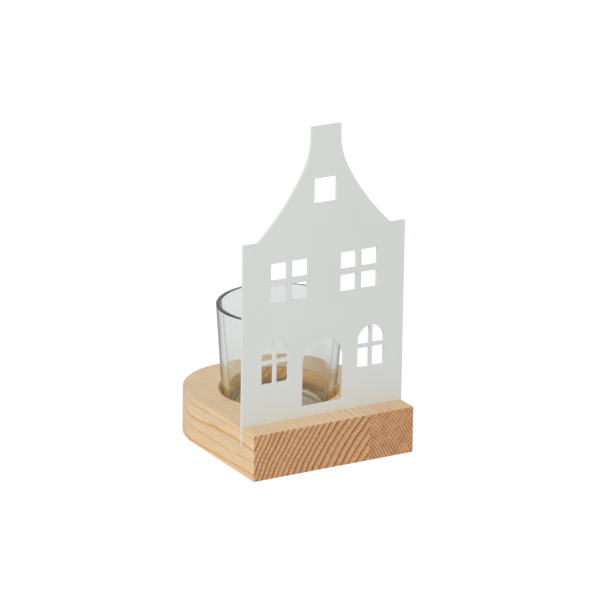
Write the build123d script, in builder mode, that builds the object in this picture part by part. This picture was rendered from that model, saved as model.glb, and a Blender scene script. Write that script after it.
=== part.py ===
from build123d import *
import os

# Tealight house: a pine base with a round recess for a glass tealight cup, and in front of
# the cup a white sheet-steel house front that stands in a saw kerf across the base.
# Millimetres. +X is right, +Y is back, +Z is up, and the origin is on the table under the
# middle of the base.

os.makedirs("parts", exist_ok=True)

# Pine base, edge-glued from a wide and a narrow board
BASE_WIDTH = 80.4
BASE_THICKNESS = 21.3
NARROW_BOARD_WIDTH = 22.4
BACK_FLAT = 13.6
BACK_MARGIN = 13.5
EDGE_ROUND = 0.5
UNDERSIDE_BEVEL = 0.4

# Kerf for the house front
FRONT_SETBACK = 10.8
KERF_DEPTH = 8.5
KERF_CLEARANCE = 0.1

# House front, with heights above the top of the base
SHEET_THICKNESS = 1.5
EAVES_HEIGHT = 83.0
SHOULDER_WIDTH = 6.9
GABLE_HEIGHT = 48.6
NECK_WIDTH = 14.5
NECK_HEIGHT = 4.5
FLARE_RUN = 3.8
FLARE_DROP = 15.2

# Doorway
DOOR_WIDTH = 20.7
DOOR_HEIGHT = 30.0
DOOR_SILL = 4.75

# Arched windows beside the door, placed across the pier between door and wall edge
LOWER_WINDOW_WIDTH = 13.4
LOWER_WINDOW_HEIGHT = 19.3
LOWER_BAR = 1.5
LOWER_PLACE_SHARE = 0.459
LOWER_SILL_SHARE = 0.218
LOWER_BAR_SHARE = 0.518

# Square windows below the eaves, placed across half the wall
UPPER_WINDOW_WIDTH = 18.45
UPPER_WINDOW_HEIGHT = 18.25
UPPER_BAR = 2.45
UPPER_PLACE_SHARE = 0.431
UPPER_SILL_SHARE = 0.658
UPPER_BAR_SHARE = 0.5

# Attic window, placed up the gable
ATTIC_WINDOW_WIDTH = 11.2
ATTIC_WINDOW_HEIGHT = 11.45
ATTIC_SILL_SHARE = 0.286

# Glass cup and the recess that it stands in
GLASS_RIM_DIAMETER = 56.8
GLASS_FOOT_DIAMETER = 49.8
GLASS_HEIGHT = 49.6
GLASS_RIM_WALL = 2.1
GLASS_FOOT_WALL = 3.3
GLASS_FLOOR = 4.5
GLASS_INNER_ROUND = 2.0
GLASS_RIM_BEVEL = 0.6
GLASS_FOOT_BEVEL = 1.2
GLASS_FOOT_RING = 5.0
GLASS_PUNT = 0.8
GLASS_GAP = 8.4
RECESS_DEPTH = 10.0
RECESS_CLEARANCE = 1.2
RECESS_BEVEL = 0.4

# How far every cut runs past the wood
OVERRUN = 2.0


def glass_radius(height):
    """Outer radius of the tapered cup at a height above its foot."""
    rise_share = height / GLASS_HEIGHT
    return (GLASS_FOOT_DIAMETER + (GLASS_RIM_DIAMETER - GLASS_FOOT_DIAMETER) * rise_share) / 2


# Sizes that follow from the ones above
back_radius = (BASE_WIDTH - BACK_FLAT) / 2
recess_radius = glass_radius(RECESS_DEPTH) + RECESS_CLEARANCE
recess_setback = FRONT_SETBACK + SHEET_THICKNESS + GLASS_GAP + GLASS_RIM_DIAMETER / 2
base_depth = recess_setback + recess_radius + BACK_MARGIN
glue_line_x = BASE_WIDTH / 2 - NARROW_BOARD_WIDTH
sheet_front_y = FRONT_SETBACK - base_depth / 2
cup_y = recess_setback - base_depth / 2
recess_floor_z = BASE_THICKNESS - RECESS_DEPTH

top_plane = Plane.XY.offset(BASE_THICKNESS)
glue_plane = Plane.YZ.offset(glue_line_x)
front_plane = Plane(origin=(0, sheet_front_y, BASE_THICKNESS), x_dir=(1, 0, 0), z_dir=(0, -1, 0))
cup_plane = Plane(origin=(0, cup_y, recess_floor_z), x_dir=(1, 0, 0), z_dir=(0, -1, 0))


def shape_base():
    """Shape the glued-up base in the open part: round-backed blank, kerf and recess."""
    with BuildSketch() as plan:
        Rectangle(BASE_WIDTH, base_depth)
        fillet(plan.vertices().group_by(Axis.Y)[-1], back_radius)
    extrude(plan.sketch, amount=BASE_THICKNESS)
    fillet(edges().filter_by(Axis.Z).group_by(Axis.Y)[0], EDGE_ROUND)
    fillet(edges().group_by(Axis.Z)[-1], EDGE_ROUND)
    chamfer(edges().group_by(Axis.Z)[0], UNDERSIDE_BEVEL)

    with BuildSketch(top_plane) as kerf:
        with Locations((0, sheet_front_y + SHEET_THICKNESS / 2)):
            Rectangle(BASE_WIDTH + OVERRUN, SHEET_THICKNESS + 2 * KERF_CLEARANCE)
    extrude(kerf.sketch, amount=-KERF_DEPTH, mode=Mode.SUBTRACT)

    with BuildSketch(top_plane) as recess:
        with Locations((0, cup_y)):
            Circle(recess_radius)
    extrude(recess.sketch, amount=-RECESS_DEPTH, mode=Mode.SUBTRACT)
    chamfer(edges(Select.LAST).group_by(Axis.Z)[-1], RECESS_BEVEL)


def arched_opening(width, height):
    """Add an opening with a half-round head to the open sketch, standing on its sill."""
    radius = width / 2
    Rectangle(width, height - radius, align=(Align.CENTER, Align.MIN))
    with Locations((0, height - radius)):
        Circle(radius)


def square_opening(width, height):
    """Add a square-headed opening to the open sketch, standing on its sill."""
    Rectangle(width, height, align=(Align.CENTER, Align.MIN))


def glazing_cross(width, height, bar, bar_share):
    """Leave one upright and one level bar standing in a window of the open sketch."""
    Rectangle(bar, height, align=(Align.CENTER, Align.MIN), mode=Mode.SUBTRACT)
    with Locations((0, height * bar_share)):
        Rectangle(width, bar, mode=Mode.SUBTRACT)


# Base: two boards of one blank, parted at the glue line
with BuildPart() as base_board_wide:
    shape_base()
    split(bisect_by=glue_plane, keep=Keep.BOTTOM)

base_board_wide.part.label = "base_board_wide"
export_step(base_board_wide.part, "parts/base_board_wide.step")

with BuildPart() as base_board_narrow:
    shape_base()
    split(bisect_by=glue_plane, keep=Keep.TOP)

base_board_narrow.part.label = "base_board_narrow"
export_step(base_board_narrow.part, "parts/base_board_narrow.step")

# House front: a bell gable on a plain wall, with door and windows cut through
with BuildPart() as facade_panel:
    ridge_height = EAVES_HEIGHT + GABLE_HEIGHT
    neck_foot_height = ridge_height - NECK_HEIGHT
    with BuildSketch(front_plane):
        with BuildLine():
            wall = Polyline(
                (0, -KERF_DEPTH),
                (BASE_WIDTH / 2, -KERF_DEPTH),
                (BASE_WIDTH / 2, EAVES_HEIGHT),
                (BASE_WIDTH / 2 - SHOULDER_WIDTH, EAVES_HEIGHT),
            )
            neck = Polyline(
                (0, ridge_height),
                (NECK_WIDTH / 2, ridge_height),
                (NECK_WIDTH / 2, neck_foot_height),
            )
            flare_end = (NECK_WIDTH / 2 + FLARE_RUN, neck_foot_height - FLARE_DROP)
            flare = TangentArc(neck @ 1, flare_end, tangent=neck % 1)
            TangentArc(flare @ 1, wall @ 1, tangent=flare % 1)
            mirror(about=Plane.YZ)
        make_face()
    extrude(amount=-SHEET_THICKNESS)

    pier_width = (BASE_WIDTH - DOOR_WIDTH) / 2
    lower_x = DOOR_WIDTH / 2 + pier_width * LOWER_PLACE_SHARE
    lower_sill = EAVES_HEIGHT * LOWER_SILL_SHARE
    upper_x = BASE_WIDTH / 2 * UPPER_PLACE_SHARE
    upper_sill = EAVES_HEIGHT * UPPER_SILL_SHARE
    attic_sill = EAVES_HEIGHT + GABLE_HEIGHT * ATTIC_SILL_SHARE
    with BuildSketch(front_plane):
        with Locations((0, DOOR_SILL)):
            arched_opening(DOOR_WIDTH, DOOR_HEIGHT)
        with Locations((-lower_x, lower_sill), (lower_x, lower_sill)):
            arched_opening(LOWER_WINDOW_WIDTH, LOWER_WINDOW_HEIGHT)
            glazing_cross(LOWER_WINDOW_WIDTH, LOWER_WINDOW_HEIGHT, LOWER_BAR, LOWER_BAR_SHARE)
        with Locations((-upper_x, upper_sill), (upper_x, upper_sill)):
            square_opening(UPPER_WINDOW_WIDTH, UPPER_WINDOW_HEIGHT)
            glazing_cross(UPPER_WINDOW_WIDTH, UPPER_WINDOW_HEIGHT, UPPER_BAR, UPPER_BAR_SHARE)
        with Locations((0, attic_sill)):
            square_opening(ATTIC_WINDOW_WIDTH, ATTIC_WINDOW_HEIGHT)
    extrude(amount=-SHEET_THICKNESS, mode=Mode.SUBTRACT)

facade_panel.part.label = "facade_panel"
export_step(facade_panel.part, "parts/facade_panel.step")

# Glass cup: a tapered wall that thickens to the foot, a bevelled rim and a shallow punt
with BuildPart() as glass_cup:
    punt_radius = GLASS_FOOT_DIAMETER / 2 - GLASS_FOOT_RING
    with BuildSketch(cup_plane) as profile:
        with BuildLine():
            Polyline(
                (0, GLASS_PUNT),
                (punt_radius - GLASS_PUNT, GLASS_PUNT),
                (punt_radius, 0),
                (glass_radius(0), 0),
                (glass_radius(GLASS_HEIGHT), GLASS_HEIGHT),
                (glass_radius(GLASS_HEIGHT) - GLASS_RIM_WALL, GLASS_HEIGHT),
                (glass_radius(GLASS_FLOOR) - GLASS_FOOT_WALL, GLASS_FLOOR),
                (0, GLASS_FLOOR),
                close=True,
            )
        make_face()
        floor_corner = profile.vertices().group_by(Axis.Y)[-2].sort_by(Axis.X)[-1]
        fillet(floor_corner, GLASS_INNER_ROUND)
        rim_corners = profile.vertices().group_by(Axis.Y)[-1]
        chamfer(rim_corners, GLASS_RIM_BEVEL)
        foot_corner = profile.vertices().group_by(Axis.Y)[0].sort_by(Axis.X)[-1]
        chamfer(foot_corner, GLASS_FOOT_BEVEL)
    revolve(axis=Axis(cup_plane.origin, (0, 0, 1)))

glass_cup.part.label = "glass_cup"
export_step(glass_cup.part, "parts/glass_cup.step")
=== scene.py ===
"""Tealight house, dressed for the camera.

A pine base glued up from two boards, a white powder-coated steel house front standing in a saw
kerf, and a pressed glass cup standing in a round recess behind it. Blender metres in the frame
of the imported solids: +X is right, +Y is back, +Z is up, and the table is at zero.
"""

import logging
import math
from collections.abc import Callable, Iterator
from contextlib import contextmanager
from dataclasses import dataclass, field
from enum import Enum
from typing import Any

import bmesh
import bpy
from mathutils import Matrix, Vector


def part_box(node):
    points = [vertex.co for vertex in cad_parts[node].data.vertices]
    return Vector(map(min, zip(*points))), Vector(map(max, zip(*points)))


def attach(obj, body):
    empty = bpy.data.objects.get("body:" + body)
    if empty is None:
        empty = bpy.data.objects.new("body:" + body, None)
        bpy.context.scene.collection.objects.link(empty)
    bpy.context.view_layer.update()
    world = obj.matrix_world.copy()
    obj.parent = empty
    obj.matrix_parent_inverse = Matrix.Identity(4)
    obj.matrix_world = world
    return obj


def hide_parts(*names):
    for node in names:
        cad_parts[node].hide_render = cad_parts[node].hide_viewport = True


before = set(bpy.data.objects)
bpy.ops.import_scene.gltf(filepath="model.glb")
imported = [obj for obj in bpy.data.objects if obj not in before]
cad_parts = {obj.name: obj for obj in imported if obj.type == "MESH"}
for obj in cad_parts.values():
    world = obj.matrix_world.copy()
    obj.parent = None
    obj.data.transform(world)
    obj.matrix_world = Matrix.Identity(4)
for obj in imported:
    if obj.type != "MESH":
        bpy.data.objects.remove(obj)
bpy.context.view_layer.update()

LOG = logging.getLogger("tealight_house")
MM = 0.001

# Points this close are one point, and a place is met when it is this near
TOUCHING = 0.001 * MM
NEAR = 0.01 * MM

# Most noise lies between these two, about this mean
NOISE_LOW = 0.25
NOISE_HIGH = 0.75
NOISE_MEAN = 0.5


class Body(Enum):
    """Bodies of the part that a piece can ride on."""

    BASE = "base"
    FRONT = "facade"
    CUP = "glass"


class Head(Enum):
    """How a door or window ends at the top."""

    ARCHED = "arched"
    SQUARE = "square"


# Helpers for materials


def linear(code: str) -> tuple[float, float, float, float]:
    """Turn an sRGB hex colour into linear RGBA.

    Args:
        code: Six hex digits.

    Returns:
        Red, green, blue and a full alpha, linear.
    """
    shares = [int(code[place:place + 2], 16) / 255 for place in (0, 2, 4)]
    made = [s / 12.92 if s <= 0.04045 else ((s + 0.055) / 1.055) ** 2.4 for s in shares]
    return made[0], made[1], made[2], 1.0


def add_node(
    tree: bpy.types.NodeTree,
    kind: str,
    inputs: dict[str | int, Any] | None = None,
    stops: tuple[tuple[float, float], ...] = (),
    **settings: Any,
) -> bpy.types.Node:
    """Add a node with its settings and links.

    Args:
        tree: Tree that takes the node.
        kind: Blender's name for the node.
        inputs: Value, or feeding output socket, for each input by name or number.
        stops: Places and grey levels of a colour ramp.
        settings: Properties of the node.

    Returns:
        The new node.
    """
    node = tree.nodes.new(kind)
    for name, value in settings.items():
        setattr(node, name, value)
    for name, value in (inputs or {}).items():
        if isinstance(value, bpy.types.NodeSocket):
            tree.links.new(value, node.inputs[name])
        else:
            node.inputs[name].default_value = value
    if stops:
        ramp = node.color_ramp.elements
        while len(ramp) < len(stops):
            ramp.new(1.0)
        for stop, (place, grey) in zip(ramp, stops):
            stop.position = place
            stop.color = (grey, grey, grey, 1.0)
    return node


def new_material(name: str) -> tuple[bpy.types.Material, bpy.types.NodeTree]:
    """Make an empty node material.

    Args:
        name: Name of the finish.

    Returns:
        The material and its empty tree.
    """
    made = bpy.data.materials.new(name)
    made.use_nodes = True
    made.node_tree.nodes.clear()
    return made, made.node_tree


# Helpers for modelling


@contextmanager
def editing(piece: bpy.types.Object) -> Iterator[None]:
    """Open one piece in edit mode with nothing selected, and leave edit mode at the end.

    Args:
        piece: Piece to shape.
    """
    select_only(piece)
    bpy.ops.object.mode_set(mode="EDIT")
    bpy.ops.mesh.select_mode(type="VERT")
    bpy.ops.mesh.select_all(action="DESELECT")
    yield
    bpy.ops.object.mode_set(mode="OBJECT")


def select_only(*pieces: bpy.types.Object) -> None:
    """Select these pieces and no others, with the last one active.

    Args:
        pieces: Pieces to select.
    """
    bpy.ops.object.select_all(action="DESELECT")
    for piece in pieces:
        piece.select_set(True)
        bpy.context.view_layer.objects.active = piece


def pick_edges(piece: bpy.types.Object, wanted: Callable[[Vector, Vector], bool]) -> None:
    """Select edges of the piece in edit mode by the places of their ends.

    Args:
        piece: Piece that is open in edit mode.
        wanted: Test on the two ends of an edge.
    """
    bpy.ops.mesh.select_mode(type="EDGE")
    mesh = bmesh.from_edit_mesh(piece.data)
    for edge in mesh.edges:
        edge.select_set(wanted(edge.verts[0].co, edge.verts[1].co))
    mesh.select_flush_mode()
    bmesh.update_edit_mesh(piece.data)


def apply_modifier(piece: bpy.types.Object, kind: str, **settings: Any) -> None:
    """Add a modifier to a piece and apply it.

    Args:
        piece: Piece to change.
        kind: Blender's name for the modifier.
        settings: Properties of the modifier.
    """
    select_only(piece)
    bpy.ops.object.modifier_add(type=kind)
    modifier = piece.modifiers[-1]
    for name, value in settings.items():
        setattr(modifier, name, value)
    bpy.ops.object.modifier_apply(modifier=modifier.name)


def cut(piece: bpy.types.Object, cutter: bpy.types.Object) -> None:
    """Cut one piece with another, which is used up.

    Args:
        piece: Piece to cut.
        cutter: Piece that is taken away from it.
    """
    apply_modifier(piece, "BOOLEAN", operation="DIFFERENCE", solver="EXACT", object=cutter)
    bpy.data.objects.remove(cutter)


def add_block(name: str, low: Vector, high: Vector) -> bpy.types.Object:
    """Add a block between two corners, with its place in its mesh.

    Args:
        name: Name of the piece.
        low: Lowest corner.
        high: Highest corner.

    Returns:
        The block.
    """
    bpy.ops.object.select_all(action="DESELECT")
    bpy.ops.mesh.primitive_cube_add(size=1.0, location=(low + high) / 2, scale=high - low)
    block = bpy.context.object
    block.name = block.data.name = name
    bpy.ops.object.transform_apply(location=True, rotation=True, scale=True)
    return block


def copy_piece(piece: bpy.types.Object, name: str, shift: Vector) -> bpy.types.Object:
    """Copy a piece with a mesh of its own.

    Args:
        piece: Piece to copy.
        name: Name of the copy.
        shift: How far the copy is moved.

    Returns:
        The copy.
    """
    select_only(piece)
    bpy.ops.object.duplicate(linked=False)
    copied = bpy.context.object
    copied.name = copied.data.name = name
    with editing(copied):
        bpy.ops.mesh.select_all(action="SELECT")
        bpy.ops.transform.translate(value=shift)
    return copied


def draw_out(piece: bpy.types.Object, depth: Vector) -> None:
    """Fill a closed line and draw the face out into a solid.

    Args:
        piece: Piece that is a closed line.
        depth: How far and which way the face is drawn.
    """
    with editing(piece):
        bpy.ops.mesh.select_all(action="SELECT")
        bpy.ops.mesh.remove_doubles(threshold=TOUCHING)
        bpy.ops.mesh.edge_face_add()
        bpy.ops.mesh.extrude_region_move(TRANSFORM_OT_translate={"value": depth})
        bpy.ops.mesh.select_all(action="SELECT")
        bpy.ops.mesh.normals_make_consistent(inside=False)


def smooth(piece: bpy.types.Object, crease: float) -> None:
    """Shade a finished piece smooth across shallow edges, with its flat faces kept flat.

    Args:
        piece: Piece to shade.
        crease: Steepest edge that is smoothed, in degrees.
    """
    select_only(piece)
    bpy.ops.object.shade_smooth_by_angle(angle=math.radians(crease))
    apply_modifier(piece, "WEIGHTED_NORMAL", keep_sharp=True, weight=100)


class Pen:
    """Draws a line of edges point by point, as by hand, and leaves it as a piece."""

    def __init__(self, name: str, start: Vector) -> None:
        """Begin a line with one vertex.

        Args:
            name: Name of the piece.
            start: First point.
        """
        bpy.ops.object.select_all(action="DESELECT")
        bpy.ops.mesh.primitive_plane_add(size=MM, location=(0.0, 0.0, 0.0))
        self.piece = bpy.context.object
        self.piece.name = self.piece.data.name = name
        self.end = start.copy()
        self.heading = Vector((0.0, 0.0, 1.0))
        bpy.ops.object.mode_set(mode="EDIT")
        bpy.ops.mesh.select_mode(type="VERT")
        bpy.ops.mesh.select_all(action="SELECT")
        bpy.ops.mesh.merge(type="CENTER")
        bpy.ops.transform.translate(value=start)

    def line_to(self, point: Vector) -> None:
        """Draw a straight edge.

        Args:
            point: Where it ends.
        """
        step = point - self.end
        bpy.ops.mesh.extrude_vertices_move(TRANSFORM_OT_translate={"value": step})
        self.end = point.copy()
        self.heading = step.normalized()

    def arc_to(self, point: Vector, steps: int) -> None:
        """Draw an arc that goes on in the line's heading.

        Args:
            point: Where it ends.
            steps: Number of edges.
        """
        chord = point - self.end
        axis = self.heading.cross(chord).normalized()
        inward = axis.cross(self.heading)
        centre = self.end + inward * (chord.length_squared / (2 * chord.dot(inward)))
        angle = 2 * self.heading.angle(chord)
        # Spin turns clockwise about its axis, so the turn is given as its negative
        bpy.ops.mesh.spin(steps=steps, angle=-angle, center=centre, axis=axis)
        self.end = point.copy()
        self.heading = Matrix.Rotation(angle, 3, axis) @ self.heading

    def run(self, corners: list[tuple[Vector, float]], steps: int) -> None:
        """Draw through a row of corners, each rounded by its own radius.

        Args:
            corners: Corner points and radii. The last one is where the run ends.
            steps: Number of edges round each corner.
        """
        for (corner, radius), (after, _) in zip(corners, corners[1:]):
            back = (self.end - corner).normalized()
            ahead = (after - corner).normalized()
            reach = radius / math.tan(back.angle(ahead) / 2)
            self.line_to(corner + back * reach)
            if radius:
                self.arc_to(corner + ahead * reach, steps)
        self.line_to(corners[-1][0])

    def lift(self) -> bpy.types.Object:
        """End the line and give back its piece."""
        bpy.ops.object.mode_set(mode="OBJECT")
        return self.piece


# Finishes


@dataclass(frozen=True)
class OiledPine:
    """Planed pine with a thin coat of oil.

    The eye gets growth rings round the pith of each board: pale early wood that darkens to a
    brown late line with a sharp outer edge. They show as arcs on the end grain, which drinks
    more oil and is darker and redder, and as long soft lines on the faces along the board. On
    the top they are faint, under finer and greyer lines: the fine lines follow the rings, and
    the fading and the grey-pink tint are a painted sheen of the light from above. The end
    grain is speckled with cut fibres and crossed by rays that run out from the pith, resin
    soaks the narrow board in long streaks, and the routed recess is amber, with painted light
    on its wall and painted shade on its floor under the cup. Real rays and fibres are a few
    hundredths of a millimetre wide, and here they are drawn in bundles that the eye can see.
    Lengths are in millimetres, as the pattern is.
    """

    name: str

    # The pith, and the spacing of the rings at two distances from it
    pith: tuple[float, float]
    tilt: float
    near_radius: float
    near_spacing: float
    far_radius: float
    far_spacing: float
    phase: float

    # Early and late wood, along the board and on its ends
    early_long: str
    late_long: str
    early_end: str
    late_end: str

    # How the rings wander, and how dark a year's wood is from its first to its last
    wave: float = 3.0
    wave_across: float = 16.0
    wave_along: float = 130.0
    sway: float = 1.0
    sway_across: float = 11.0
    sway_along: float = 20.0
    year: tuple[tuple[float, float], ...] = (
        (0.0, 0.45), (0.05, 0.0), (0.5, 0.12), (0.71, 0.46), (0.89, 1.0), (1.0, 0.85))
    poor_year: float = 0.76
    line_sharpness: float = 2.4

    # How steeply a face crosses the board before it shows end grain, and all end grain
    end_from: float = 0.25
    end_full: float = 0.95

    # Rays and fibres
    ray_width: float = 0.7
    ray_length: float = 5.0
    ray_tone: float = 0.18
    fibre_across: float = 0.5
    fibre_along: float = 9.0
    fibre_tone: float = 0.13
    pore_tone: float = 0.3

    # Fine lines on the top, counted for each ring, and the painted sheen there: a grey-pink tint and
    # faded late wood
    top_from: float = 0.5
    top_sheen_fade: float = 0.35
    top_rings: float = 1.35
    top_sharpness: float = 3.0
    top_sheen_tone: float = 0.45
    top_sheen_colour: str = "B28C76"

    # Uneven oil and resin
    blotch_across: float = 12.0
    blotch_along: float = 60.0
    blotch_tone: float = 0.045
    resin: float = 0.0
    resin_from: float = 0.5
    resin_full: float = 0.65
    resin_colour: str = "D2924E"

    # The routed recess, with painted light on its wall and painted shade on its floor
    routed_colour: str = "E6B069"
    routed_share: float = 0.45
    recess_wall_painted_light: float = 1.22
    recess_floor_painted_shade: float = 0.62

    # The oiled surface
    early_rough: float = 0.52
    late_rough: float = 0.42
    late_height: float = 0.5
    grain_relief: float = 0.03
    relief_strength: float = 0.5
    ior: float = 1.5
    specular: float = 0.3

    def material(self, recess: tuple[Vector, float]) -> bpy.types.Material:
        """Draw the rings, fibres and end grain as a solid pattern.

        Args:
            recess: Point on the axis of the routed recess, and its radius.

        Returns:
            The material.
        """
        made, tree = new_material(self.name)
        seen = add_node(tree, "ShaderNodeTexCoord")
        place = seen.outputs["Object"]
        facing = add_node(tree, "ShaderNodeSeparateXYZ", {0: seen.outputs["Normal"]}).outputs
        routed = self._inside(tree, place, *recess)
        from_pith = add_node(tree, "ShaderNodeMapping", {
            "Vector": place,
            "Location": (-self.pith[0], 0.0, -self.pith[1]),
            "Rotation": (math.radians(self.tilt), 0.0, 0.0),
            "Scale": (1 / MM, 1 / MM, 1 / MM),
        }).outputs[0]
        across = add_node(tree, "ShaderNodeVectorMath", {
            0: from_pith, 1: (1.0, 0.0, 1.0)}, operation="MULTIPLY").outputs[0]
        radius = add_node(tree, "ShaderNodeVectorMath", {
            0: across}, operation="LENGTH").outputs["Value"]
        count = self._count_rings(tree, place, radius)
        late = self._late_wood(tree, count)
        steep = add_node(tree, "ShaderNodeMath", {0: facing["Y"]}, operation="ABSOLUTE").outputs[0]
        end_grain = add_node(tree, "ShaderNodeMapRange", {
            "Value": steep, "From Min": self.end_from, "From Max": self.end_full},
            interpolation_type="SMOOTHSTEP").outputs[0]

        blotch = self._noise(tree, place, self.blotch_across, self.blotch_along, detail=1.0)
        long_face = self._long_face(tree, facing["Z"], count, late, blotch)
        end_face = add_node(tree, "ShaderNodeMix", {
            0: late, 6: linear(self.early_end), 7: linear(self.late_end)},
            data_type="RGBA").outputs[2]
        planed = add_node(tree, "ShaderNodeMix", {
            0: end_grain, 6: long_face, 7: end_face}, data_type="RGBA").outputs[2]
        scraped = add_node(tree, "ShaderNodeMath", {
            0: routed, 1: self.routed_share}, operation="MULTIPLY").outputs[0]
        ringed = add_node(tree, "ShaderNodeMix", {
            0: scraped, 6: planed, 7: linear(self.routed_colour)}, data_type="RGBA").outputs[2]

        fibre = self._noise(tree, place, self.fibre_across, self.fibre_along, detail=3.0)
        tone = self._fibre_tone(tree, fibre, end_grain)
        broad = add_node(tree, "ShaderNodeMapRange", {
            "Value": blotch, "From Min": NOISE_LOW, "From Max": NOISE_HIGH,
            "To Min": 1 - self.blotch_tone, "To Max": 1 + self.blotch_tone}).outputs[0]
        rays = self._ray_tone(tree, from_pith, radius, end_grain)
        # Painted light on the recess wall and painted shade on its floor under the cup
        recess_light_and_shade = self._paint_recess_light(tree, routed, facing["Z"])
        for share in (broad, rays, recess_light_and_shade):
            tone = add_node(tree, "ShaderNodeMath", {0: tone, 1: share}, operation="MULTIPLY").outputs[0]
        colour = add_node(tree, "ShaderNodeHueSaturation", {"Value": tone, "Color": ringed}).outputs[0]

        gloss = add_node(tree, "ShaderNodeMapRange", {
            "Value": late, "To Min": self.early_rough, "To Max": self.late_rough}).outputs[0]
        height = add_node(tree, "ShaderNodeMath", {
            0: late, 1: self.late_height, 2: fibre}, operation="MULTIPLY_ADD").outputs[0]
        relief = add_node(tree, "ShaderNodeBump", {
            "Strength": self.relief_strength, "Distance": self.grain_relief * MM,
            "Height": height}).outputs[0]
        shader = add_node(tree, "ShaderNodeBsdfPrincipled", {
            "Base Color": colour, "Roughness": gloss, "Normal": relief,
            "IOR": self.ior, "Specular IOR Level": self.specular})
        add_node(tree, "ShaderNodeOutputMaterial", {"Surface": shader.outputs[0]})
        return made

    def _count_rings(
        self, tree: bpy.types.NodeTree, place: bpy.types.NodeSocket, radius: bpy.types.NodeSocket,
    ) -> bpy.types.NodeSocket:
        """Count the rings out from the pith, with their wander and their closer outer spacing.

        Args:
            tree: Tree of the material.
            place: Object coordinates.
            radius: Distance from the pith.

        Returns:
            The count, whole at the outer edge of each ring.
        """
        wave = self._noise(tree, place, self.wave_across, self.wave_along, detail=2.0)
        waved = add_node(tree, "ShaderNodeMath", {
            0: wave, 1: self.wave, 2: radius}, operation="MULTIPLY_ADD").outputs[0]
        sway = self._noise(tree, place, self.sway_across, self.sway_along, detail=1.0)
        swayed = add_node(tree, "ShaderNodeMath", {
            0: sway, 1: self.sway, 2: waved}, operation="MULTIPLY_ADD").outputs[0]
        start = self.near_radius + (self.wave + self.sway) / 2
        run = add_node(tree, "ShaderNodeMath", {0: swayed, 1: start}, operation="SUBTRACT").outputs[0]
        tighten = (1 / self.far_spacing - 1 / self.near_spacing) / (
            2 * (self.far_radius - self.near_radius))
        rate = add_node(tree, "ShaderNodeMath", {
            0: run, 1: tighten, 2: 1 / self.near_spacing}, operation="MULTIPLY_ADD").outputs[0]
        return add_node(tree, "ShaderNodeMath", {
            0: run, 1: rate, 2: self.phase}, operation="MULTIPLY_ADD").outputs[0]

    def _late_wood(
        self, tree: bpy.types.NodeTree, count: bpy.types.NodeSocket,
    ) -> bpy.types.NodeSocket:
        """Darken each ring towards its outer edge, some years less than others.

        Args:
            tree: Tree of the material.
            count: Rings counted from the pith.

        Returns:
            How far the wood is late wood, from zero to one.
        """
        within = add_node(tree, "ShaderNodeMath", {0: count}, operation="FRACT").outputs[0]
        ring = add_node(tree, "ShaderNodeMath", {0: count}, operation="FLOOR").outputs[0]
        profile = add_node(tree, "ShaderNodeValToRGB", {0: within}, stops=self.year).outputs[0]
        luck = add_node(tree, "ShaderNodeTexWhiteNoise", {
            "W": ring}, noise_dimensions="1D").outputs["Value"]
        vigour = add_node(tree, "ShaderNodeMapRange", {
            "Value": luck, "To Min": self.poor_year, "To Max": 1.0}).outputs[0]
        return add_node(tree, "ShaderNodeMath", {
            0: profile, 1: vigour}, operation="MULTIPLY").outputs[0]

    def _long_face(
        self,
        tree: bpy.types.NodeTree,
        upward: bpy.types.NodeSocket,
        count: bpy.types.NodeSocket,
        late: bpy.types.NodeSocket,
        blotch: bpy.types.NodeSocket,
    ) -> bpy.types.NodeSocket:
        """Colour the faces along the board, with fine lines and a painted sheen on the top, and streaks
        of resin.

        Args:
            tree: Tree of the material.
            upward: How far the face looks up.
            count: Rings counted from the pith.
            late: How far the wood is late wood.
            blotch: Broad noise along the board.

        Returns:
            The colour.
        """
        line = add_node(tree, "ShaderNodeMath", {
            0: late, 1: self.line_sharpness}, operation="POWER").outputs[0]
        top = add_node(tree, "ShaderNodeMapRange", {
            "Value": upward, "From Min": self.top_from}).outputs[0]
        # Painted sheen: the late wood fades on faces that look up
        faint = add_node(tree, "ShaderNodeMapRange", {
            "Value": top, "To Min": 1.0, "To Max": self.top_sheen_fade}).outputs[0]
        drawn = add_node(tree, "ShaderNodeMath", {0: line, 1: faint}, operation="MULTIPLY").outputs[0]
        lined = add_node(tree, "ShaderNodeMix", {
            0: drawn, 6: linear(self.early_long), 7: linear(self.late_long)},
            data_type="RGBA").outputs[2]

        passes = add_node(tree, "ShaderNodeMath", {
            0: count, 1: 2 * self.top_rings}, operation="MULTIPLY").outputs[0]
        rise = add_node(tree, "ShaderNodeMath", {0: passes, 1: 1.0}, operation="PINGPONG").outputs[0]
        thin = add_node(tree, "ShaderNodeMath", {
            0: rise, 1: self.top_sharpness}, operation="POWER").outputs[0]
        shown = add_node(tree, "ShaderNodeMath", {0: thin, 1: top}, operation="MULTIPLY").outputs[0]
        # The fine lines follow the rings, and their grey-pink tint on the top is painted sheen
        grain_and_sheen_lines = add_node(tree, "ShaderNodeMath", {
            0: shown, 1: self.top_sheen_tone}, operation="MULTIPLY").outputs[0]
        fine_lined = add_node(tree, "ShaderNodeMix", {
            0: grain_and_sheen_lines, 6: lined, 7: linear(self.top_sheen_colour)}, data_type="RGBA").outputs[2]

        soaked = add_node(tree, "ShaderNodeMapRange", {
            "Value": blotch, "From Min": self.resin_from, "From Max": self.resin_full,
            "To Max": self.resin}, interpolation_type="SMOOTHSTEP").outputs[0]
        return add_node(tree, "ShaderNodeMix", {
            0: soaked, 6: fine_lined, 7: linear(self.resin_colour)}, data_type="RGBA").outputs[2]

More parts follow.
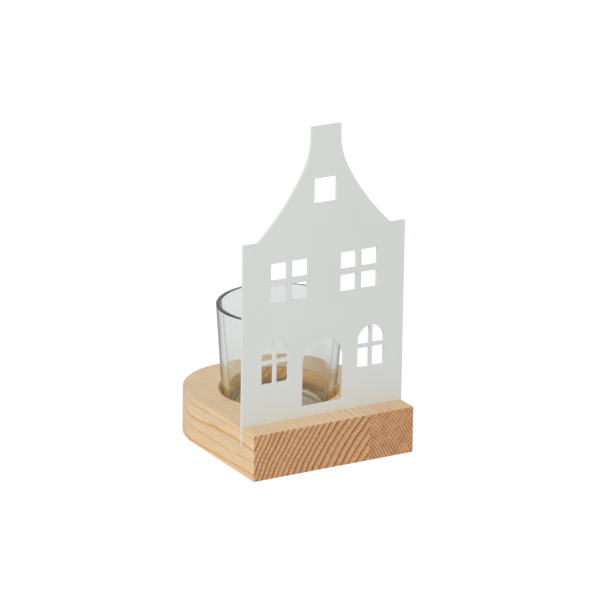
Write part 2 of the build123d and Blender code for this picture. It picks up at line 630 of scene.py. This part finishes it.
    def _fibre_tone(
        self, tree: bpy.types.NodeTree, fibre: bpy.types.NodeSocket, end_grain: bpy.types.NodeSocket,
    ) -> bpy.types.NodeSocket:
        """Shade the fibres, more strongly where their cut ends show.

        Args:
            tree: Tree of the material.
            fibre: Fine noise along the board.
            end_grain: How far the face shows end grain.

        Returns:
            The tone, about one.
        """
        speckle = add_node(tree, "ShaderNodeMapRange", {
            "Value": end_grain, "To Min": self.fibre_tone, "To Max": self.pore_tone}).outputs[0]
        darkest = add_node(tree, "ShaderNodeMath", {
            0: 1.0, 1: speckle}, operation="SUBTRACT").outputs[0]
        lightest = add_node(tree, "ShaderNodeMath", {
            0: 1.0, 1: speckle}, operation="ADD").outputs[0]
        return add_node(tree, "ShaderNodeMapRange", {
            "Value": fibre, "From Min": NOISE_LOW, "From Max": NOISE_HIGH,
            "To Min": darkest, "To Max": lightest}).outputs[0]

    def _ray_tone(
        self,
        tree: bpy.types.NodeTree,
        from_pith: bpy.types.NodeSocket,
        radius: bpy.types.NodeSocket,
        end_grain: bpy.types.NodeSocket,
    ) -> bpy.types.NodeSocket:
        """Shade the rays that cross the rings on the end grain.

        Args:
            tree: Tree of the material.
            from_pith: Place measured from the pith.
            radius: Distance from the pith.
            end_grain: How far the face shows end grain.

        Returns:
            The tone, about one.
        """
        spot = add_node(tree, "ShaderNodeSeparateXYZ", {0: from_pith}).outputs
        turn = add_node(tree, "ShaderNodeMath", {
            0: spot["X"], 1: spot["Z"]}, operation="ARCTAN2").outputs[0]
        sideways = add_node(tree, "ShaderNodeMath", {
            0: turn, 1: self.near_radius / self.ray_width}, operation="MULTIPLY").outputs[0]
        outwards = add_node(tree, "ShaderNodeMath", {
            0: radius, 1: self.ray_length}, operation="DIVIDE").outputs[0]
        drawn = add_node(tree, "ShaderNodeCombineXYZ", {"X": sideways, "Y": outwards}).outputs[0]
        rays = add_node(tree, "ShaderNodeTexNoise", {
            "Vector": drawn, "Scale": 1.0, "Detail": 2.0}).outputs[0]
        shown = add_node(tree, "ShaderNodeMix", {0: end_grain, 2: NOISE_MEAN, 3: rays}).outputs[0]
        return add_node(tree, "ShaderNodeMapRange", {
            "Value": shown, "From Min": NOISE_LOW, "From Max": NOISE_HIGH,
            "To Min": 1 - self.ray_tone, "To Max": 1 + self.ray_tone}).outputs[0]

    def _paint_recess_light(
        self, tree: bpy.types.NodeTree, routed: bpy.types.NodeSocket, upward: bpy.types.NodeSocket,
    ) -> bpy.types.NodeSocket:
        """Paint light on the wall of the recess and paint shade on its floor under the cup.

        Args:
            tree: Tree of the material.
            routed: One inside the recess and zero elsewhere.
            upward: How far the face looks up.

        Returns:
            The tone, one outside the recess.
        """
        level = add_node(tree, "ShaderNodeMath", {
            0: routed, 1: upward}, operation="MULTIPLY", use_clamp=True).outputs[0]
        lit_recess_wall = add_node(tree, "ShaderNodeMapRange", {
            "Value": routed, "To Min": 1.0, "To Max": self.recess_wall_painted_light}).outputs[0]
        return add_node(tree, "ShaderNodeMapRange", {
            "Value": level, "To Min": lit_recess_wall, "To Max": self.recess_floor_painted_shade}).outputs[0]

    def _inside(
        self, tree: bpy.types.NodeTree, place: bpy.types.NodeSocket, axis: Vector, reach: float,
    ) -> bpy.types.NodeSocket:
        """Tell the inside of a round recess from the rest of the board.

        Args:
            tree: Tree of the material.
            place: Object coordinates.
            axis: Point on the axis of the recess.
            reach: Radius of the recess.

        Returns:
            One inside the recess and zero elsewhere.
        """
        from_axis = add_node(tree, "ShaderNodeVectorMath", {
            0: place, 1: axis}, operation="SUBTRACT").outputs[0]
        level = add_node(tree, "ShaderNodeVectorMath", {
            0: from_axis, 1: (1.0, 1.0, 0.0)}, operation="MULTIPLY").outputs[0]
        out = add_node(tree, "ShaderNodeVectorMath", {
            0: level}, operation="LENGTH").outputs["Value"]
        return add_node(tree, "ShaderNodeMath", {0: out, 1: reach}, operation="LESS_THAN").outputs[0]

    def _noise(
        self,
        tree: bpy.types.NodeTree,
        place: bpy.types.NodeSocket,
        width: float,
        length: float,
        detail: float,
    ) -> bpy.types.NodeSocket:
        """Add noise drawn out along the board.

        Args:
            tree: Tree of the material.
            place: Object coordinates.
            width: Size of the pattern across the board.
            length: Size of the pattern along the board.
            detail: Octaves of finer noise.

        Returns:
            The noise, about one half on average.
        """
        scale = (1 / (width * MM), 1 / (length * MM), 1 / (width * MM))
        drawn = add_node(tree, "ShaderNodeMapping", {"Vector": place, "Scale": scale})
        return add_node(tree, "ShaderNodeTexNoise", {
            "Vector": drawn.outputs[0], "Scale": 1.0, "Detail": detail}).outputs[0]


@dataclass(frozen=True)
class PowderCoat:
    """White polyester powder coat baked on steel sheet.

    The eye gets a soft matt white with a very fine orange peel. The real peel is about half a
    millimetre across, and it is drawn at twice that so that it shows. Lengths are in
    millimetres.
    """

    name: str = "steel_sheet_white_powder_coat"
    colour: str = "E5E7E2"
    shaded: str = "DFE1DB"
    peel: float = 1.0
    peel_relief: float = 0.012
    relief_strength: float = 0.4
    cloud: float = 25.0
    least_rough: float = 0.46
    most_rough: float = 0.56
    ior: float = 1.5

    def material(self) -> bpy.types.Material:
        """Draw the peel and a slight unevenness of the coat.

        Returns:
            The material.
        """
        made, tree = new_material(self.name)
        place = add_node(tree, "ShaderNodeTexCoord").outputs["Object"]
        peel = add_node(tree, "ShaderNodeTexNoise", {
            "Vector": place, "Scale": 1 / (self.peel * MM), "Detail": 1.0}).outputs[0]
        cloud = add_node(tree, "ShaderNodeTexNoise", {
            "Vector": place, "Scale": 1 / (self.cloud * MM), "Detail": 2.0}).outputs[0]
        tint = add_node(tree, "ShaderNodeMix", {
            0: cloud, 6: linear(self.colour), 7: linear(self.shaded)}, data_type="RGBA").outputs[2]
        gloss = add_node(tree, "ShaderNodeMapRange", {
            "Value": cloud, "To Min": self.least_rough, "To Max": self.most_rough}).outputs[0]
        relief = add_node(tree, "ShaderNodeBump", {
            "Strength": self.relief_strength, "Distance": self.peel_relief * MM,
            "Height": peel}).outputs[0]
        shader = add_node(tree, "ShaderNodeBsdfPrincipled", {
            "Base Color": tint, "Roughness": gloss, "Normal": relief, "IOR": self.ior})
        add_node(tree, "ShaderNodeOutputMaterial", {"Surface": shader.outputs[0]})
        return made


@dataclass(frozen=True)
class PressedGlass:
    """Clear soda-lime glass, pressed in a mould and fire-polished.

    The eye gets a slightly wavy wall, a painted shade on the edges where the glass slants away,
    in place of the dark edges that refraction gives, and a faint green where it is thick, at
    the rim and through the floor. Lengths are in millimetres.
    """

    name: str = "soda_lime_glass_pressed_clear"
    body: str = "FDFEFD"
    absorbed: str = "D2D6B8"
    density: float = 40.0
    # Colour of the painted shade on the edges where the glass slants away
    edge: str = "566050"
    edge_shade_blend: float = 0.5
    edge_shade_from: float = 0.72
    edge_shade_full: float = 0.88
    ripple: float = 9.0
    ripple_relief: float = 0.03
    relief_strength: float = 0.3
    rough: float = 0.01
    ior: float = 1.52

    def material(self) -> bpy.types.Material:
        """Set the glass body, the painted shade on its edges and its slight ripple.

        Returns:
            The material.
        """
        made, tree = new_material(self.name)
        place = add_node(tree, "ShaderNodeTexCoord").outputs["Object"]
        ripple = add_node(tree, "ShaderNodeTexNoise", {
            "Vector": place, "Scale": 1 / (self.ripple * MM), "Detail": 0.0}).outputs[0]
        relief = add_node(tree, "ShaderNodeBump", {
            "Strength": self.relief_strength, "Distance": self.ripple_relief * MM,
            "Height": ripple}).outputs[0]
        # Painted shade: the glass tint darkens where its surface slants away from the view, in place of
        # the dark edges that refraction gives
        slant = add_node(tree, "ShaderNodeLayerWeight", {"Blend": self.edge_shade_blend}).outputs["Facing"]
        painted_edge_shade = add_node(tree, "ShaderNodeMapRange", {
            "Value": slant, "From Min": self.edge_shade_from, "From Max": self.edge_shade_full},
            interpolation_type="SMOOTHSTEP").outputs[0]
        tint = add_node(tree, "ShaderNodeMix", {
            0: painted_edge_shade, 6: linear(self.body), 7: linear(self.edge)}, data_type="RGBA").outputs[2]
        shader = add_node(tree, "ShaderNodeBsdfPrincipled", {
            "Base Color": tint, "Roughness": self.rough, "IOR": self.ior,
            "Transmission Weight": 1.0, "Normal": relief})
        green = add_node(tree, "ShaderNodeVolumeAbsorption", {
            "Color": linear(self.absorbed), "Density": self.density})
        add_node(tree, "ShaderNodeOutputMaterial", {
            "Surface": shader.outputs[0], "Volume": green.outputs[0]})
        return made


@dataclass(frozen=True)
class StudioPaper:
    """Matt white backdrop paper.

    The lens sees it as white with a faint shadow, and gloss and glass see a share of that
    white. Other light finds plain pale paper, which throws a soft glow back on the object.
    """

    name: str = "backdrop_paper_matt_white"
    paper: str = "E7E7E7"
    seen_paper: str = "9A9A9A"
    seen_glow: float = 0.89
    glow: str = "F5F5F9"
    through: float = 0.35

    def material(self) -> bpy.types.Material:
        """Mix the lit paper with the white that the lens sees.

        Returns:
            The material.
        """
        made, tree = new_material(self.name)
        plain = add_node(tree, "ShaderNodeBsdfDiffuse", {"Color": linear(self.paper)})
        shown = add_node(tree, "ShaderNodeBsdfDiffuse", {"Color": linear(self.seen_paper)})
        glow = add_node(tree, "ShaderNodeEmission", {
            "Color": linear(self.glow), "Strength": self.seen_glow})
        white = add_node(tree, "ShaderNodeAddShader", {0: shown.outputs[0], 1: glow.outputs[0]})
        mixed = add_node(tree, "ShaderNodeMixShader", {
            0: seen_directly(tree, self.through), 1: plain.outputs[0], 2: white.outputs[0]})
        add_node(tree, "ShaderNodeOutputMaterial", {"Surface": mixed.outputs[0]})
        return made


def seen_directly(tree: bpy.types.NodeTree, through: float) -> bpy.types.NodeSocket:
    """Tell rays from the lens, and through or off the object, from the rays that light it.

    Args:
        tree: Tree that takes the nodes.
        through: How much of the lens's white gloss and glass get.

    Returns:
        One for camera rays, the share for glossy and transmission rays, and zero for others.
    """
    path = add_node(tree, "ShaderNodeLightPath")
    sharp = add_node(tree, "ShaderNodeMath", {
        0: path.outputs["Is Glossy Ray"], 1: path.outputs["Is Transmission Ray"]},
        operation="MAXIMUM").outputs[0]
    shared = add_node(tree, "ShaderNodeMath", {0: sharp, 1: through}, operation="MULTIPLY").outputs[0]
    return add_node(tree, "ShaderNodeMath", {
        0: path.outputs["Is Camera Ray"], 1: shared}, operation="MAXIMUM").outputs[0]


WIDE_PINE = OiledPine(
    name="pine_wide_board_planed_oiled",
    pith=(89.4, -51.8),
    tilt=1.4,
    near_radius=100.0,
    near_spacing=3.2,
    far_radius=145.0,
    far_spacing=2.25,
    phase=2.72,
    early_long="ECCFA7",
    late_long="DEA452",
    early_end="DCB181",
    late_end="984706",
)

NARROW_PINE = OiledPine(
    name="pine_narrow_board_planed_oiled",
    pith=(-8.0, -14.0),
    tilt=-0.8,
    near_radius=29.0,
    near_spacing=1.35,
    far_radius=60.0,
    far_spacing=1.2,
    phase=0.3,
    early_long="EACBA5",
    late_long="D6A066",
    early_end="DBA97A",
    late_end="985220",
    wave=1.6,
    wave_across=6.0,
    ray_tone=0.26,
    blotch_across=5.0,
    blotch_tone=0.10,
    resin=0.5,
)


# Sub-assemblies


@dataclass
class GlassCup:
    """The tapered glass cup, with a thick floor, a rounded rim and a foot ring."""

    box: tuple[Vector, Vector] = field(default_factory=lambda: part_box("glass_cup"))
    foot_diameter: float = 49.8 * MM
    wall: float = 2.1 * MM
    foot_wall: float = 3.3 * MM
    floor: float = 4.5 * MM
    floor_round: float = 2.0 * MM
    rim_round: float = 0.63 * MM
    foot_round: float = 1.4 * MM
    foot_ring: float = 5.0 * MM
    punt: float = 1.8 * MM
    round_steps: int = 8
    turn_steps: int = 160
    crease: float = 40.0
    finish: PressedGlass = PressedGlass()

    @property
    def axis(self) -> Vector:
        """Point on the axis of the cup, at its foot."""
        low, high = self.box
        return Vector(((low.x + high.x) / 2, (low.y + high.y) / 2, low.z))

    def radius(self, height: float) -> float:
        """Give the outer radius of the wall.

        Args:
            height: Height above the foot.

        Returns:
            The radius there.
        """
        low, high = self.box
        rim = (high.x - low.x) / 2
        foot = self.foot_diameter / 2
        return foot + (rim - foot) * height / (high.z - low.z)

    def build(self) -> bpy.types.Object:
        """Draw the wall's profile and spin it into a cup.

        Returns:
            The cup.
        """
        height = self.box[1].z - self.box[0].z
        punt_edge = self.foot_diameter / 2 - self.foot_ring

        def at(out: float, up: float) -> Vector:
            """Place a point of the profile by its radius and its height above the foot."""
            return self.axis + Vector((out, 0.0, up))

        pen = Pen("tealight_cup", at(0.0, self.punt))
        pen.heading = Vector((1.0, 0.0, 0.0))
        pen.arc_to(at(punt_edge, 0.0), 2 * self.round_steps)
        pen.run([
            (at(self.radius(0.0), 0.0), self.foot_round),
            (at(self.radius(height), height), self.rim_round),
            (at(self.radius(height) - self.wall, height), self.rim_round),
            (at(self.radius(self.floor) - self.foot_wall, self.floor), self.floor_round),
            (at(0.0, self.floor), 0.0),
        ], self.round_steps)
        cup = pen.lift()
        with editing(cup):
            bpy.ops.mesh.select_all(action="SELECT")
            bpy.ops.mesh.spin(
                steps=self.turn_steps, angle=math.tau, center=self.axis, axis=(0.0, 0.0, 1.0))
            bpy.ops.mesh.select_all(action="SELECT")
            bpy.ops.mesh.remove_doubles(threshold=TOUCHING)
            bpy.ops.mesh.normals_make_consistent(inside=False)
        smooth(cup, self.crease)
        return cup

    def dress(self, cup: bpy.types.Object) -> None:
        """Give the cup its glass, and let it stand for its solid.

        Args:
            cup: The cup.
        """
        cup.data.materials.append(self.finish.material())
        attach(cup, Body.CUP.value)
        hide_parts("glass_cup")


@dataclass(frozen=True)
class Opening:
    """A door or window in the house front, with heights above the top of the base."""

    name: str
    places: tuple[float, ...]
    sill: float
    width: float
    height: float
    head: Head
    bar: float = 0.0
    bar_height: float = 0.0


@dataclass
class HouseFront:
    """The sheet-steel house front: a bell gable, a doorway and five windows."""

    box: tuple[Vector, Vector] = field(default_factory=lambda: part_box("facade_panel"))
    base_top: float = field(default_factory=lambda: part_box("base_board_wide")[1].z)
    eaves: float = 83.0 * MM
    shoulder: float = 6.9 * MM
    neck_width: float = 14.5 * MM
    neck_height: float = 4.5 * MM
    flare_run: float = 3.8 * MM
    flare_drop: float = 15.2 * MM
    coat_round: float = 0.2 * MM
    coat_steps: int = 3
    flare_steps: int = 12
    gable_steps: int = 36
    arch_steps: int = 40
    crease: float = 50.0
    openings: tuple[Opening, ...] = (
        Opening(
            "door", places=(0.0,), sill=4.75 * MM, width=20.7 * MM, height=30.0 * MM,
            head=Head.ARCHED),
        Opening(
            "arched_window", places=(-24.05 * MM, 24.05 * MM), sill=18.09 * MM, width=13.4 * MM,
            height=19.3 * MM, head=Head.ARCHED, bar=1.5 * MM, bar_height=10.0 * MM),
        Opening(
            "square_window", places=(-17.33 * MM, 17.33 * MM), sill=54.61 * MM, width=18.45 * MM,
            height=18.25 * MM, head=Head.SQUARE, bar=2.45 * MM, bar_height=9.13 * MM),
        Opening(
            "attic_window", places=(0.0,), sill=96.9 * MM, width=11.2 * MM, height=11.45 * MM,
            head=Head.SQUARE),
    )
    finish: PowderCoat = PowderCoat()

    def build(self) -> bpy.types.Object:
        """Draw the outline, draw it out to a sheet and cut the openings.

        Returns:
            The house front.
        """
        low, high = self.box
        half = high.x
        eaves = self.base_top + self.eaves
        neck = self.neck_width / 2
        neck_foot = high.z - self.neck_height
        thick = Vector((0.0, high.y - low.y, 0.0))

        def at(x: float, z: float) -> Vector:
            """Place a point on the front of the sheet."""
            return Vector((x, low.y, z))

        pen = Pen("house_front", at(0.0, high.z))
        pen.line_to(at(neck, high.z))
        pen.line_to(at(neck, neck_foot))
        pen.arc_to(at(neck + self.flare_run, neck_foot - self.flare_drop), self.flare_steps)
        pen.arc_to(at(half - self.shoulder, eaves), self.gable_steps)
        pen.line_to(at(half, eaves))
        pen.line_to(at(half, low.z))
        pen.line_to(at(0.0, low.z))
        outline = pen.lift()
        apply_modifier(outline, "MIRROR", use_axis=(True, False, False), use_mirror_merge=True)
        draw_out(outline, thick)
        cutters = [cutter for opening in self.openings for cutter in self.cutters(opening)]
        select_only(*cutters)
        bpy.ops.object.join()
        cut(outline, bpy.context.object)
        apply_modifier(outline, "BEVEL", width=self.coat_round, segments=self.coat_steps,
                       limit_method="ANGLE", angle_limit=math.radians(self.crease))
        smooth(outline, self.crease)
        return outline

    def cutters(self, opening: Opening) -> list[bpy.types.Object]:
        """Make the solids that cut one kind of opening, with its glazing bars left out.

        Args:
            opening: Opening to cut.

        Returns:
            One cutter for each place.
        """
        low, high = self.box
        # The cutter stands out of the sheet by its thickness, in front and behind
        thick = high.y - low.y
        front = low.y - thick
        depth = Vector((0.0, 3 * thick, 0.0))
        left = opening.places[0] - opening.width / 2
        right = opening.places[0] + opening.width / 2
        sill = self.base_top + opening.sill
        head = sill + opening.height
        pen = Pen(opening.name, Vector((right, front, sill)))
        if opening.head is Head.ARCHED:
            spring = head - opening.width / 2
            pen.line_to(Vector((right, front, spring)))
            pen.arc_to(Vector((left, front, spring)), self.arch_steps)
        else:
            pen.line_to(Vector((right, front, head)))
            pen.line_to(Vector((left, front, head)))
        pen.line_to(Vector((left, front, sill)))
        cutter = pen.lift()
        draw_out(cutter, depth)
        if opening.bar:
            reach = opening.width
            level = sill + opening.bar_height
            centre = Vector((opening.places[0], front + depth.y / 2, level))
            upright = Vector((opening.bar / 2, depth.y, reach))
            across = Vector((reach, depth.y, opening.bar / 2))
            for bar in (upright, across):
                cut(cutter, add_block("glazing_bar", centre - bar, centre + bar))
        copies = [
            copy_piece(cutter, opening.name, Vector((place - opening.places[0], 0.0, 0.0)))
            for place in opening.places[1:]
        ]
        return [cutter, *copies]

    def dress(self, front: bpy.types.Object) -> None:
        """Give the sheet its coat, and let it stand for its solid.

        Args:
            front: The house front.
        """
        front.data.materials.append(self.finish.material())
        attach(front, Body.FRONT.value)
        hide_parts("facade_panel")


@dataclass
class PineBase:
    """The base: a round-backed blank of two glued boards, with a kerf and a recess."""

    cup: GlassCup
    front: HouseFront
    wide_box: tuple[Vector, Vector] = field(default_factory=lambda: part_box("base_board_wide"))
    narrow_box: tuple[Vector, Vector] = field(default_factory=lambda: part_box("base_board_narrow"))
    back_flat: float = 13.6 * MM
    edge_round: float = 0.5 * MM
    underside_bevel: float = 0.4 * MM
    kerf_clearance: float = 0.1 * MM
    recess_clearance: float = 1.2 * MM
    recess_bevel: float = 0.4 * MM
    overrun: float = 2.0 * MM
    crease: float = 35.0
    back_steps: int = 56
    edge_steps: int = 5
    underside_steps: int = 2
    mouth_steps: int = 3
    recess_steps: int = 192
    wide_finish: OiledPine = WIDE_PINE
    narrow_finish: OiledPine = NARROW_PINE

    @property
    def mouth(self) -> float:
        """Radius of the recess: the cup's at the top of the base, with its play."""
        return self.cup.radius(self.wide_box[1].z - self.cup.axis.z) + self.recess_clearance

    def build(self) -> tuple[bpy.types.Object, bpy.types.Object]:
        """Shape the blank and part it at the glue line.

        Returns:
            The wide board and the narrow board.
        """
        wide = self.shape_blank("wide_board")
        narrow = copy_piece(wide, "narrow_board", Vector((0.0, 0.0, 0.0)))
        glue_line = Vector((self.wide_box[1].x, 0.0, 0.0))
        for board, keeps_left in ((wide, True), (narrow, False)):
            with editing(board):
                bpy.ops.mesh.select_all(action="SELECT")
                bpy.ops.mesh.bisect(
                    plane_co=glue_line, plane_no=(1.0, 0.0, 0.0), use_fill=True,
                    clear_outer=keeps_left, clear_inner=not keeps_left)
            smooth(board, self.crease)
        return wide, narrow

    def shape_blank(self, name: str) -> bpy.types.Object:
        """Shape the glued blank: round back, eased edges, kerf and recess.

        Args:
            name: Name of the piece.

        Returns:
            The blank.
        """
        low = Vector((self.wide_box[0].x, self.wide_box[0].y, self.wide_box[0].z))
        high = Vector((self.narrow_box[1].x, self.wide_box[1].y, self.wide_box[1].z))
        blank = add_block(name, low, high)

        def upright_at(y: float) -> Callable[[Vector, Vector], bool]:
            """Test for upright edges at one end of the blank."""
            return lambda a, b: abs(a.z - b.z) > NEAR and abs(a.y - y) < NEAR and abs(b.y - y) < NEAR

        def level_at(z: float) -> Callable[[Vector, Vector], bool]:
            """Test for level edges round the top or the underside."""
            return lambda a, b: abs(a.z - z) < NEAR and abs(b.z - z) < NEAR

        with editing(blank):
            pick_edges(blank, upright_at(high.y))
            bpy.ops.mesh.bevel(
                offset=(high.x - low.x - self.back_flat) / 2, segments=self.back_steps)
            pick_edges(blank, upright_at(low.y))
            bpy.ops.mesh.bevel(offset=self.edge_round, segments=self.edge_steps)
            pick_edges(blank, level_at(high.z))
            bpy.ops.mesh.bevel(offset=self.edge_round, segments=self.edge_steps)
            pick_edges(blank, level_at(low.z))
            bpy.ops.mesh.bevel(offset=self.underside_bevel, segments=self.underside_steps)

        sheet_low, sheet_high = self.front.box
        cut(blank, add_block(
            "kerf",
            Vector((low.x - self.overrun, sheet_low.y - self.kerf_clearance, sheet_low.z)),
            Vector((high.x + self.overrun, sheet_high.y + self.kerf_clearance, high.z + self.overrun)),
        ))
        axis = self.cup.axis
        depth = high.z - axis.z
        mouth = self.mouth
        bpy.ops.object.select_all(action="DESELECT")
        bpy.ops.mesh.primitive_cylinder_add(
            vertices=self.recess_steps, radius=mouth, depth=2 * depth,
            location=axis + Vector((0.0, 0.0, depth)))
        cut(blank, bpy.context.object)

        def on_mouth(point: Vector) -> bool:
            """Test for the edge where the recess meets the top."""
            out = Vector((point.x - axis.x, point.y - axis.y)).length
            return abs(out - mouth) < NEAR and abs(point.z - high.z) < NEAR

        with editing(blank):
            pick_edges(blank, lambda a, b: on_mouth(a) and on_mouth(b))
            bpy.ops.mesh.bevel(offset=self.recess_bevel, segments=self.mouth_steps)
        return blank

    def dress(self, wide: bpy.types.Object, narrow: bpy.types.Object) -> None:
        """Give each board its wood, and let it stand for its solid.

        Args:
            wide: The wide board.
            narrow: The narrow board.
        """
        recess = (self.cup.axis, self.mouth + self.recess_bevel / 2)
        for board, finish, node, slot in (
            (wide, self.wide_finish, "base_board_wide", "pine_wide"),
            (narrow, self.narrow_finish, "base_board_narrow", "pine_narrow"),
        ):
            board.data.materials.append(finish.material(recess))
            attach(board, Body.BASE.value)
            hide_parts(node)


@dataclass
class Studio:
    """The floor, the soft light and the camera at the viewing angle of the photograph."""

    floor_size: float = 16.0
    sky: float = 0.715
    sky_colour: str = "EDF5FF"
    seen_colour: str = "FFFFFF"
    key_power: float = 11.1
    key_colour: str = "FFF3E0"
    key_size: float = 1.1
    key_place: Vector = field(default_factory=lambda: Vector((-1.10, -0.80, 0.93)))
    aim: Vector = field(default_factory=lambda: Vector((0.906, -11.489, 66.874)) * MM)
    azimuth: float = -30.11
    elevation: float = 18.88
    roll: float = 0.83
    distance: float = 2139.2 * MM
    lens: float = 293.2
    sensor: float = 36.0
    bounces: int = 24
    paper: StudioPaper = StudioPaper()

    def lay_floor(self) -> None:
        """Lay the backdrop paper under the object."""
        bpy.ops.object.select_all(action="DESELECT")
        bpy.ops.mesh.primitive_plane_add(size=self.floor_size, location=(0.0, 0.0, 0.0))
        floor = bpy.context.object
        floor.name = floor.data.name = "studio_floor"
        floor.data.materials.append(self.paper.material())

    def hang_lights(self) -> None:
        """Set a white room round the object and a soft box up on its left."""
        world = bpy.data.worlds.new("white_room")
        bpy.context.scene.world = world
        world.use_nodes = True
        tree = world.node_tree
        tree.nodes.clear()
        seen = seen_directly(tree, self.paper.through)
        strength = add_node(tree, "ShaderNodeMapRange", {
            "Value": seen, "To Min": self.sky, "To Max": 1.0}).outputs[0]
        hue = add_node(tree, "ShaderNodeMix", {
            0: seen, 6: linear(self.sky_colour), 7: linear(self.seen_colour)},
            data_type="RGBA").outputs[2]
        room = add_node(tree, "ShaderNodeBackground", {"Color": hue, "Strength": strength})
        add_node(tree, "ShaderNodeOutputWorld", {"Surface": room.outputs[0]})

        bpy.ops.object.light_add(type="AREA", location=self.key_place)
        key = bpy.context.object
        key.name = key.data.name = "key_soft_box"
        key.data.shape = "DISK"
        key.data.size = self.key_size
        key.data.energy = self.key_power
        key.data.color = linear(self.key_colour)[:3]
        key.rotation_euler = (self.aim - self.key_place).to_track_quat("-Z", "Y").to_euler()
        key.visible_camera = False

    def free_light(self) -> None:
        """Let light run far inside the glass wall, and fall sharply through it on the wood."""
        cycles = bpy.context.scene.cycles
        cycles.max_bounces = self.bounces
        cycles.glossy_bounces = self.bounces
        cycles.transmission_bounces = self.bounces
        cycles.blur_glossy = 0.0

    def set_camera(self) -> None:
        """Put the camera where the photograph was taken from."""
        turn = math.radians(self.azimuth)
        rise = math.radians(self.elevation)
        back = Vector((
            math.sin(turn) * math.cos(rise), -math.cos(turn) * math.cos(rise), math.sin(rise)))
        facing = (-back).to_track_quat("-Z", "Y").to_matrix()
        tilted = facing @ Matrix.Rotation(math.radians(self.roll), 3, "Z")
        data = bpy.data.cameras.new("photo_camera")
        data.lens = self.lens
        data.sensor_width = self.sensor
        camera = bpy.data.objects.new("photo_camera", data)
        bpy.context.scene.collection.objects.link(camera)
        camera.matrix_world = (
            Matrix.Translation(self.aim + back * self.distance) @ tilted.to_4x4())
        bpy.context.scene.camera = camera
        bpy.context.scene.view_settings.view_transform = "Standard"


def main() -> None:
    """Build and dress every piece, then light and frame the scene."""
    logging.basicConfig(level=logging.INFO, format="%(message)s")
    cup = GlassCup()
    front = HouseFront()
    base = PineBase(cup, front)

    boards = base.build()
    base.dress(*boards)
    sheet = front.build()
    front.dress(sheet)
    glass = cup.build()
    cup.dress(glass)
    for piece in (*boards, sheet, glass):
        LOG.info("%s: %d faces", piece.name, len(piece.data.polygons))

    studio = Studio()
    studio.lay_floor()
    studio.hang_lights()
    studio.free_light()
    studio.set_camera()


if __name__ == "__main__":
    main()
